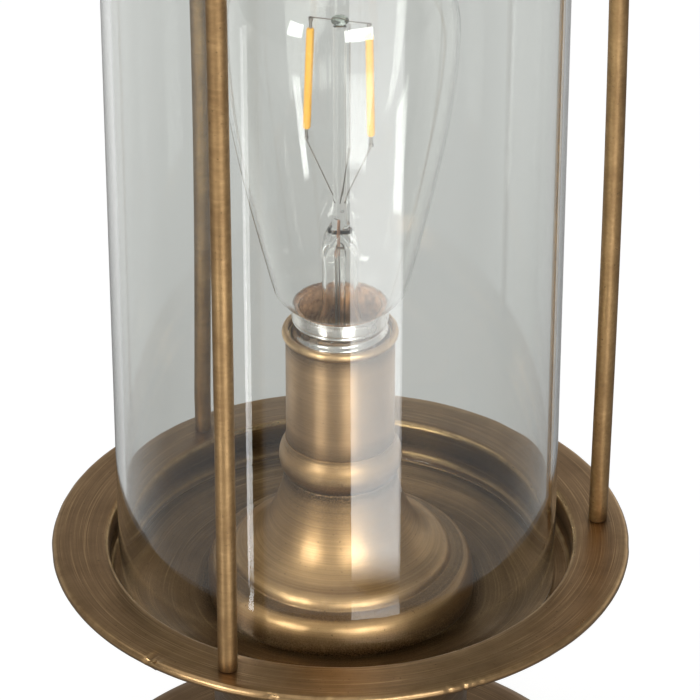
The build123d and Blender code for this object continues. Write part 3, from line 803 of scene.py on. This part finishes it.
def makeSleeve():
    top, lipR = sleeveHigh.z, sleeveHigh.x
    inner, outer = sleeve["r"] - sleeve["wall"], sleeve["r"]
    lipFoot = top - sleeve["lipHeight"]
    lipIn = outer + sleeve["lipStep"]
    corners = [
        (inner, sleeveLow.z, 0),
        (outer, sleeveLow.z, 0.15),
        (outer, lipFoot - sleeve["lipStep"], 0.1),
        *arcPoints((lipIn, lipFoot), (lipR, lipFoot + sleeve["lipBulge"]), (lipIn, top), 14),
        (lipIn, top, 0.2),
        (inner, top - 0.15, 0.25),
    ]
    bm = turnPiece(corners, sleeve["steps"])
    edges = [((lipR - 0.3, top - 0.9), 1.6, 0.8)]
    # Painted shade, with some soiling, under the lip and where the sleeve meets the collar
    shadeDirtSpots = [((outer, lipFoot - 0.2), 0.8, 0.8), ((outer, sleeveLow.z), 1.4, 0.6)]
    finishPiece("sleeve_tube", bm, sleeveBrass, "stand", ["socket_sleeve"],
                wearAndGlint=edges, shadeAndDirt=shadeDirtSpots)


# Column and foot
column = {"wall": 1.5, "edge": 0.4, "steps": 192}
foot = {
    "sheet": 1.2, "edge": 5.0, "holeR": 5.2, "hemRound": 0.5, "waviness": 0.08, "waveSize": 0.03,
    "inletR": 4.55, "inletSides": 40, "inletReach": 5.0, "steps": 384,
}


def makeColumn():
    low, high = boxOf("column_tube")
    outer = high.x
    bm = turnPiece(tubeCorners(outer, low.z, high.z, column["wall"], column["edge"]), column["steps"])
    edges = [((outer, low.z + 0.3), 1.2, 0.8), ((outer, high.z - 0.3), 1.2, 0.8)]
    finishPiece("column_sleeve", bm, shadedFootBrass, "stand", ["column_tube"], wearAndGlint=edges)


def makeFoot():
    outer, top, bottom = footHigh.x, footHigh.z, footLow.z
    sheet = foot["sheet"]
    corners = [
        (foot["holeR"], top, 0),
        (outer, top, foot["edge"]),
        (outer, bottom, foot["hemRound"]),
        (outer - sheet, bottom, foot["hemRound"]),
        (outer - sheet, top - sheet, foot["edge"] - sheet),
        (foot["holeR"], top - sheet, 0),
    ]
    bm = turnPiece(corners, foot["steps"], longest=3.5)
    for vert in bm.verts:
        sag = 0.5 + 0.5 * noise.noise(vert.co * foot["waveSize"])
        vert.co.z -= foot["waviness"] * sag * nearness(top - vert.co.z, 3.0)
    edges = [((outer - 1.2, top - 1.2), 2.6, 0.7), ((outer, bottom), 1.2, 0.8)]
    piece = finishPiece("foot_cover", bm, shadedFootBrass, "stand", ["foot_shell"], wearAndGlint=edges)
    # Hole for the cord bush at the back
    low, high = boxOf("cord_bush")
    level = (low.z + high.z) / 2
    inside, outside = low.y - foot["inletReach"], high.y + foot["inletReach"]
    cutter = bmesh.new()
    wireRun(cutter, (0, inside, level), (0, outside, level), foot["inletR"], foot["inletSides"])
    cut = newObject("inlet_cut", toMetres(cutter))
    hole = piece.modifiers.new("cord inlet", "BOOLEAN")
    hole.operation = "DIFFERENCE"
    hole.object = cut
    hole.solver = "EXACT"
    holed = bpy.data.meshes.new_from_object(piece.evaluated_get(bpy.context.evaluated_depsgraph_get()))
    piece.modifiers.clear()
    piece.data = holed
    bpy.data.objects.remove(cut)


# Bulb cap: rim band, then a round screw thread
cap = {
    "bandR": 13.05, "band": 3.4, "sheet": 0.4, "shoulder": 1.9, "rootR": 12.1, "skirtEnd": 22.0,
    "mouthR": 10.7, "mouthLip": 1.4, "steps": 96,
    "pitch": 3.629, "turns": 4, "crest": 0.95, "threadDrop": 0.2, "waveSteps": 14,
    # Beads of the band: inset, drop from the rim and rounding
    "beads": (
        (0.4, 0.0, 0.1), (0.0, 0.0, 0.15), (0.0, 0.55, 0.12), (0.18, 0.75, 0.1), (0.05, 1.0, 0.1),
        (0.0, 3.4, 0.2), (0.4, 3.75, 0.2), (0.05, 4.15, 0.3), (0.25, 4.6, 0.3),
    ),
}


def makeCap():
    sheet, bandR, rootR, mouthR = cap["sheet"], cap["bandR"], cap["rootR"], cap["mouthR"]
    bandFoot = capRim - cap["band"]
    shoulderZ = bandFoot - cap["shoulder"]
    skirtZ = capRim - cap["skirtEnd"]
    lipZ = skirtZ + cap["mouthLip"]
    corners = [
        *((bandR - inset, capRim - drop, rounding) for inset, drop, rounding in cap["beads"]),
        (rootR, shoulderZ, 0.4),
        (rootR, lipZ, 0.5),
        (mouthR, skirtZ, 0.2),
        (mouthR - sheet, skirtZ, 0.1),
        (rootR - sheet, lipZ, 0.4),
        (rootR - sheet, shoulderZ, 0.3),
        (bandR - sheet, bandFoot, 0.3),
    ]
    bm = turnPiece(corners, cap["steps"], longest=4.0)
    # The thread is a wave drawn down the skirt and turned once while it rises by one pitch
    threadTop = shoulderZ - cap["threadDrop"]
    wave = bmesh.new()
    previous = None
    for k in range(cap["turns"] * cap["waveSteps"] + 1):
        turned = k / cap["waveSteps"]
        lift = cap["crest"] * (0.5 - 0.5 * cos(2 * pi * turned))
        vert = wave.verts.new((rootR + lift, 0, threadTop - cap["pitch"] * (1 + turned)))
        if previous:
            wave.edges.new((previous, vert))
        previous = vert
    addShape(bm, spinOutline(wave, cap["steps"], cap["pitch"]))
    finishPiece("bulb_cap_shell", bm, nickel, "bulb", ["bulb_cap"])


# Bulb glass: neck, shoulder, long pear and dome. Heights are from the rim of the cap
bulb = {
    "neckR": 11.2, "neckLength": 14.0, "neckEnd": -0.6, "flare": (11.5, 0.1), "turn": (16.9, 1.4),
    "shoulder": (18.2, 6.7), "belly": (25.7, 36.7), "cheek": 63.0, "r": 31.0, "centre": 81.0,
    "wall": 0.8, "neckWall": 0.3, "steps": 160,
}


def pearOutline(inset, neckInset):
    # Open outline of the bulb from the bottom of its neck to the top of its dome
    def spot(r, height):
        return r - inset, capRim + height

    neckR = bulb["neckR"] - neckInset
    neck = (neckR, capRim + bulb["neckEnd"])
    shoulder = spot(*bulb["shoulder"])
    widest = spot(bulb["r"], bulb["centre"])
    domeR = bulb["r"] - inset
    top = (0, widest[1] + domeR)
    return [
        (neckR, capRim - bulb["neckLength"], 0),
        *curvePoints(neck, spot(*bulb["flare"]), spot(*bulb["turn"]), shoulder, 16),
        *curvePoints(shoulder, spot(*bulb["belly"]), spot(bulb["r"], bulb["cheek"]), widest, 28),
        *arcPoints(widest, (domeR * cos(pi / 4), widest[1] + domeR * sin(pi / 4)), top, 18),
        (*top, 0),
    ]


def makeBulb():
    corners = pearOutline(0, 0) + pearOutline(bulb["wall"], bulb["neckWall"])[::-1]
    bm = turnPiece(corners, bulb["steps"], longest=10.0)
    finishPiece("bulb_pear", bm, bulbGlass, "bulb", ["bulb_glass"])


# Glass stem: flare, tube, flattened pinch, rod and button. Heights are from the rim of the cap
stem = {
    "flareR": 10.2, "flareFoot": -14.0, "tubeR": 4.85, "wall": 1.0, "tubeFoot": -3.0, "shoulder": 20.0,
    "pinchR": 4.3, "pinchThickness": 3.4, "pinchHeight": 11.0, "rodR": 1.8, "rodTop": 83.0,
    "exhaustR": 1.5, "exhaustWall": 0.5, "steps": 64,
    "bubbles": ((1.4, 0.1, 2.9, 0.75), (-0.7, 0.3, 5.9, 0.4), (0.5, -0.3, 8.2, 0.35), (-1.9, 0.0, 1.8, 0.35)),
}
button = {"r": 2.35, "flat": 0.55, "draw": 0.88}


def makeStem():
    wall, tubeR, rodR = stem["wall"], stem["tubeR"], stem["rodR"]
    pinchTop = stem["shoulder"] + stem["pinchHeight"]

    def up(height):
        return capRim + height

    corners = [
        (stem["flareR"], up(stem["flareFoot"]), 0.2),
        (stem["flareR"], up(stem["flareFoot"] + 1), 0.3),
        (tubeR, up(stem["tubeFoot"]), 4.0),
        (tubeR, up(stem["shoulder"] - 1.5), 1.2),
        (stem["pinchR"], up(stem["shoulder"] + 1.0), 0.9),
        (stem["pinchR"] * 0.66, up(stem["shoulder"] + 3.6), 1.2),
        (rodR * 1.1, up(stem["shoulder"] + 5.4), 1.2),
        (rodR, up(pinchTop), 1.0),
        (rodR, up(stem["rodTop"] - 1.5), 0.6),
        (0, up(stem["rodTop"] - 1.0), 0),
        (0, up(stem["shoulder"] + 1.2), 0),
        (tubeR - wall, up(stem["shoulder"] - 3.6), 3.0),
        (tubeR - wall, up(stem["tubeFoot"]), 3.2),
        (stem["flareR"] - 1, up(stem["flareFoot"]), 0.2),
    ]
    bm = turnPiece(corners, stem["steps"], longest=1.5)
    # The hot glass above the tube was pressed flat to grip the wires
    half = stem["pinchThickness"] / 2
    for vert in bm.verts:
        above = vert.co.z - up(stem["shoulder"])
        limit = tubeR + (half - tubeR) * min(1.0, max(0.0, (above + 1.5) / 3.5))
        if above > -1.5:
            vert.co.y = max(-limit, min(limit, vert.co.y))
    # Bubbles caught in the pinch, facing into their hollow
    for x, y, height, size in stem["bubbles"]:
        bubble = bmesh.new()
        bmesh.ops.create_icosphere(bubble, subdivisions=3, radius=size)
        bmesh.ops.reverse_faces(bubble, faces=bubble.faces)
        addShape(bm, moveShape(bubble, (x, y, up(stem["shoulder"] + height))))
    # Thin exhaust tube inside
    exhaust, bore = stem["exhaustR"], stem["exhaustR"] - stem["exhaustWall"]
    tubeEnd, tubeTop = up(stem["flareFoot"]), up(stem["shoulder"] - 2.6)
    tube = [(exhaust, tubeEnd, 0), (exhaust, tubeTop, 0.2), (bore, tubeTop, 0.2), (bore, tubeEnd, 0)]
    addShape(bm, turnPiece(tube, 32, longest=8.0))
    finishPiece("stem_glass", bm, stemGlass, "bulb", ["bulb_stem"], sharp=60.0)
    # Button on top of the rod, a darker bead that holds the upper wires
    bead = bmesh.new()
    bmesh.ops.create_uvsphere(bead, u_segments=40, v_segments=24, radius=button["r"])
    bmesh.ops.scale(bead, vec=(1, 1, button["flat"]), verts=bead.verts)
    low = [vert for vert in bead.verts if vert.co.z < -0.6]
    bmesh.ops.scale(bead, vec=(button["draw"], button["draw"], 1.0), verts=low)
    moveShape(bead, (0, 0, up(stem["rodTop"])))
    finishPiece("stem_button", bead, buttonGlass, "bulb", sharp=60.0)


# Two amber filaments with grey end tabs, and the wires that carry them. Heights are from the rim of the cap
filaments = {
    "r": 1.05, "length": 29.0, "bottom": 51.0, "spread": 7.8, "turn": -14.0, "splay": (0.5, 1.2),
    "round": 0.7, "swell": 0.05, "swellSize": 0.8, "steps": 24,
    "tab": 3.0, "tabR": 0.4, "crimpR": 0.62, "crimp": 0.9,
}
wires = {
    "r": 0.17, "pinchX": 0.9, "grip": 0.5, "support": (2.6, -2.4), "jointR": 0.36, "joint": 3.0,
    "leads": ((-0.9, -0.4), (-0.3, 1.9)), "leadFoot": -12.0, "leadR": 0.26, "copper": 5.0, "copperR": 0.234,
    "weldShare": 0.6, "endShare": 0.5,
}


def filamentEnds():
    # Low and high end of each stick, splayed a little at the foot
    ends = []
    for k, splay in enumerate(filaments["splay"]):
        angle = radians(filaments["turn"]) + pi * k
        out = Vector((cos(angle), sin(angle), 0))
        low = out * (filaments["spread"] + splay) + Vector((0, 0, capRim + filaments["bottom"]))
        high = out * filaments["spread"] + Vector((0, 0, capRim + filaments["bottom"] + filaments["length"]))
        ends.append((low, high))
    return ends


def makeFilaments():
    sticks, tabs = bmesh.new(), bmesh.new()
    size = filaments["r"]
    for low, high in filamentEnds():
        along = (high - low).normalized()
        length = (high - low).length
        rounding = filaments["round"]
        corners = [(0, 0, 0), (size, 0, rounding), (size, length, rounding), (0, length, 0)]
        stick = turnPiece(corners, filaments["steps"], longest=1.5, closed=False)
        for vert in stick.verts:
            swell = 1 + filaments["swell"] * noise.noise(vert.co * filaments["swellSize"])
            vert.co.x *= swell
            vert.co.y *= swell
        turn = along.to_track_quat("Z", "Y").to_matrix().to_4x4()
        bmesh.ops.transform(stick, matrix=Matrix.Translation(low) @ turn, verts=stick.verts)
        addShape(sticks, stick)
        tab, crimp = along * filaments["tab"], along * filaments["crimp"]
        for end, run, nip in ((low, -tab, -crimp), (high, tab, crimp)):
            wireRun(tabs, end - nip * 0.3, end + run, filaments["tabR"], 12)
            wireRun(tabs, end + run - nip, end + run, filaments["crimpR"], 12)
    finishPiece("filament_sticks", sticks, filamentAmber, "bulb", ["bulb_filaments"])
    finishPiece("filament_tabs", tabs, leadWire, "bulb")


def makeWires():
    bm = bmesh.new()
    r = wires["r"]
    gripZ = capRim + stem["shoulder"]
    knee = Vector((0, 0, gripZ + stem["pinchHeight"] - wires["grip"]))
    buttonAt = Vector((0, 0, capRim + stem["rodTop"]))
    for low, high in filamentEnds():
        along = (high - low).normalized() * filaments["tab"]
        side = wires["pinchX"] if low.x > 0 else -wires["pinchX"]
        wireRun(bm, knee + Vector((side, 0, 0)), low - along, r)
        wireRun(bm, buttonAt, high + along, r)
    supportLow = Vector((*wires["support"], capRim + filaments["bottom"] - filaments["tab"]))
    supportHigh = supportLow + Vector((0, 0, filaments["length"] + 2 * filaments["tab"]))
    wireRun(bm, knee, supportLow, r)
    wireRun(bm, supportLow, supportHigh, r)
    wireRun(bm, supportLow, supportLow + (knee - supportLow).normalized() * wires["joint"], wires["jointR"])
    finishPiece("filament_wires", bm, leadWire, "bulb", ["bulb_wires"])
    # Leads inside the stem tube, with copper ends that draw together where the pinch grips them
    leads, ends = bmesh.new(), bmesh.new()
    for x, y in wires["leads"]:
        weld = (x, y * wires["weldShare"], gripZ - wires["copper"])
        wireRun(leads, (x, y, capRim + wires["leadFoot"]), weld, wires["leadR"])
        held = (x * wires["endShare"], 0, gripZ + stem["pinchHeight"] / 2)
        wireRun(ends, weld, held, wires["copperR"])
    finishPiece("stem_leads", leads, leadWire, "bulb")
    finishPiece("stem_lead_ends", ends, copperWire, "bulb")


makeTray()
makeRing()
makeRods()
makeFinials()
makeColumn()
makeFoot()
print("stand made")
makePlinth()
makeSleeve()
makeChimney()
print("plinth and chimney made")
makeCap()
makeBulb()
makeStem()
makeFilaments()
makeWires()
print("bulb made")

# CAD nodes that keep their shape
dress(zincSteel, "rod_lower_nuts", "tube_nuts", "tube_washers", "threaded_tube", "plate_screws")
dress(zincSteel, "earth_screw", "centring_cup_lower", "centring_cup_upper", "socket_rivets")
dress(contactBrass, "socket_screw_shell", "socket_contact", "earth_tag")
dress(weightIron, "foot_weight")
dress(platePaint, "foot_plate")
dress(feltCloth, "foot_felt")
dress(bushPlastic, "cord_bush")
dress(porcelain, "socket_base")
dress(linerBoard, "socket_liner")
dress(capCement, "bulb_cement")
dress(blackGlass, "bulb_insulator")
dress(solder, "bulb_contact")
print("kept nodes dressed")

# Floor, backdrop and lamps, in metres. Mirrors and glass see a dimmer floor near the lamp, which is a painted
# shadow, and behind it
stage = {
    "floorSize": 40.0, "floorLevel": -0.0002, "floor": (0.24, 0.24, 0.237, 1), "cameraGlow": 0.86,
    "paintedShadowSpan": (0.18, 0.55), "frontGlow": (0.10, 0.45), "front": (-0.5, 0.3), "backShare": 0.3,
    "behind": (0.0, 0.12), "throughGlow": (0.405, 0.51), "leftGlow": (-0.30, -0.13, 0.75, 0.0),
    "worldCamera": 1.0, "worldGlossy": 0.24, "worldLight": 0.40, "backdropTop": (0.47, 0.55),
    "backdropGlow": 0.85, "backdropSide": (-0.10, 0.02, 0.5, 1.0), "backdropFront": (0.0, 0.5),
    "cardLevel": 0.002, "bounces": 32,
}


def rayGlow(tree, camera, glossy, through, other):
    # A strength that depends on how the ray left the last surface
    path = addNode(tree, "ShaderNodeLightPath").outputs
    glow = mixValue(tree, path["Is Glossy Ray"], other, glossy)
    glow = mixValue(tree, path["Is Camera Ray"], glow, camera)
    return mixValue(tree, path["Is Transmission Ray"], glow, through)


def stageObject(name, bm, material):
    thing = newObject(name, bm, material)
    return thing


def makeFloor():
    bm = bmesh.new()
    bmesh.ops.create_grid(bm, x_segments=1, y_segments=1, size=stage["floorSize"] / 2,
                          matrix=Matrix.Translation((0, 0, stage["floorLevel"])))
    material, tree, shader, coords = newMaterial("studio floor")
    tree.nodes.remove(shader)
    fromLamp = addNode(tree, "ShaderNodeVectorMath", {0: coords}, operation="LENGTH").outputs["Value"]
    across, back, _ = splitAxes(tree, coords)
    facing = mathStep(tree, "DIVIDE", back, fromLamp)
    towards = mapStep(tree, facing, *stage["front"], 1.0, stage["backShare"])
    # Glow that rises away from the lamp: a painted shadow round it, for mirrors and for what shows through
    # glass
    glossy = times(tree, mapStep(tree, fromLamp, *stage["paintedShadowSpan"], *stage["frontGlow"]), towards)
    seen = mapStep(tree, fromLamp, *stage["paintedShadowSpan"], *stage["throughGlow"])
    seen = mixValue(tree, mapStep(tree, across, *stage["leftGlow"]), seen, 1.0)
    through = mixValue(tree, mapStep(tree, back, *stage["behind"]), glossy, seen)
    glow = rayGlow(tree, stage["cameraGlow"], glossy, through, 0.0)
    showShader(tree, addNode(tree, "ShaderNodeAddShader", {
        0: addNode(tree, "ShaderNodeBsdfDiffuse", {0: stage["floor"]}).outputs[0],
        1: addNode(tree, "ShaderNodeEmission", {"Strength": glow}).outputs[0],
    }))
    stageObject("floor", bm, material)


# Cards on the floor in front that only mirrors see. Each is a wedge from its point, between two azimuths in
# degrees to the right of the front
cards = {
    "right_card": {
        "point": (0.010, -0.058), "azimuth": (5.7, 34.2), "reach": (0.197, 0.75),
        "fade": 0.018, "light": (5.2, 2.2),
    },
    "left_card": {
        "point": (-0.0225, -0.056), "azimuth": (-46.8, -39.0), "reach": (0.190, 0.60),
        "fade": 0.014, "light": (9.5, 3.5),
    },
}


def makeCards():
    for name, card in cards.items():
        x, y = card["point"]
        near, far = card["reach"]
        left, right = (radians(angle) for angle in card["azimuth"])
        bm = bmesh.new()
        for angle, away in ((left, near), (right, near), (right, far), (left, far)):
            bm.verts.new((x + sin(angle) * away, y - cos(angle) * away, stage["cardLevel"]))
        bm.faces.new(bm.verts[:])
        material, tree, shader, coords = newMaterial(name)
        tree.nodes.remove(shader)
        measure = addNode(tree, "ShaderNodeVectorMath", {0: coords, 1: (x, y, 0)}, operation="DISTANCE")
        fromPoint = measure.outputs["Value"]
        light = mapStep(tree, fromPoint, near, far, *card["light"])
        rise = mapStep(tree, fromPoint, near, near + card["fade"])
        showShader(tree, addNode(tree, "ShaderNodeEmission", {"Strength": times(tree, light, rise)}))
        sheet = stageObject(name, bm, material)
        sheet.visible_camera = False
        sheet.visible_diffuse = False
        sheet.visible_shadow = False


def makeWorld():
    world = bpy.data.worlds.new("studio")
    world.use_nodes = True
    tree = world.node_tree
    across, back, up = splitAxes(tree, addNode(tree, "ShaderNodeTexCoord").outputs["Generated"])
    # Metal and glass see a pale backdrop behind the lamp, up to a little over the line of sight
    backdrop = mapStep(tree, up, *stage["backdropTop"], 1.0, 0.0)
    backdrop = times(tree, backdrop, mapStep(tree, back, *stage["backdropFront"]))
    backdrop = times(tree, backdrop, mapStep(tree, across, *stage["backdropSide"]))
    mirrored = mixValue(tree, backdrop, stage["worldGlossy"], stage["backdropGlow"])
    feedAll(tree, tree.nodes["Background"], {
        "Color": (1, 1, 1, 1),
        "Strength": rayGlow(tree, stage["worldCamera"], mirrored, mirrored, stage["worldLight"]),
    })
    scene.world = world


lampAim = Vector((0, 0, 0.19))
# Azimuth is in degrees from the front towards the right, sizes are metres, light is the panel's radiance
lamps = {
    "front_right_box": {
        "azimuth": 19, "elevation": 20.5, "distance": 1.3, "size": (0.62, 0.26), "light": 15.0,
    },
    "left_box": {"azimuth": -44, "elevation": 20, "distance": 1.3, "size": (0.32, 0.28), "light": 22.0},
    "top_box": {"azimuth": -100, "elevation": 74, "distance": 1.5, "size": (1.4, 1.4), "light": 0.9},
}


def makeLamps():
    for name, lamp in lamps.items():
        width, height = lamp["size"]
        azimuth, elevation = radians(lamp["azimuth"]), radians(lamp["elevation"])
        away = Vector((sin(azimuth) * cos(elevation), -cos(azimuth) * cos(elevation), sin(elevation)))
        data = bpy.data.lights.new(name, "AREA")
        data.shape = "RECTANGLE"
        data.size = width
        data.size_y = height
        data.energy = lamp["light"] * pi * width * height
        panel = bpy.data.objects.new(name, data)
        panel.location = lampAim + away * lamp["distance"]
        panel.rotation_mode = "QUATERNION"
        panel.rotation_quaternion = away.to_track_quat("Z", "Y")
        panel.visible_camera = False
        scene.collection.objects.link(panel)


cameraLook = {"place": (0.00261, -0.9396, 0.7184), "tilt": 59.68, "lens": 209.06, "sensor": 36.0}


def makeCamera():
    data = bpy.data.cameras.new("camera")
    data.lens = cameraLook["lens"]
    data.sensor_width = cameraLook["sensor"]
    camera = bpy.data.objects.new("camera", data)
    camera.location = cameraLook["place"]
    camera.rotation_euler = (radians(cameraLook["tilt"]), 0, 0)
    scene.collection.objects.link(camera)
    scene.camera = camera


makeFloor()
makeCards()
makeWorld()
makeLamps()
makeCamera()
scene.view_settings.view_transform = "Standard"
scene.cycles.max_bounces = stage["bounces"]  # the stem stands behind many layers of glass
scene.cycles.transmission_bounces = stage["bounces"]
print("stage, lamps and camera ready")
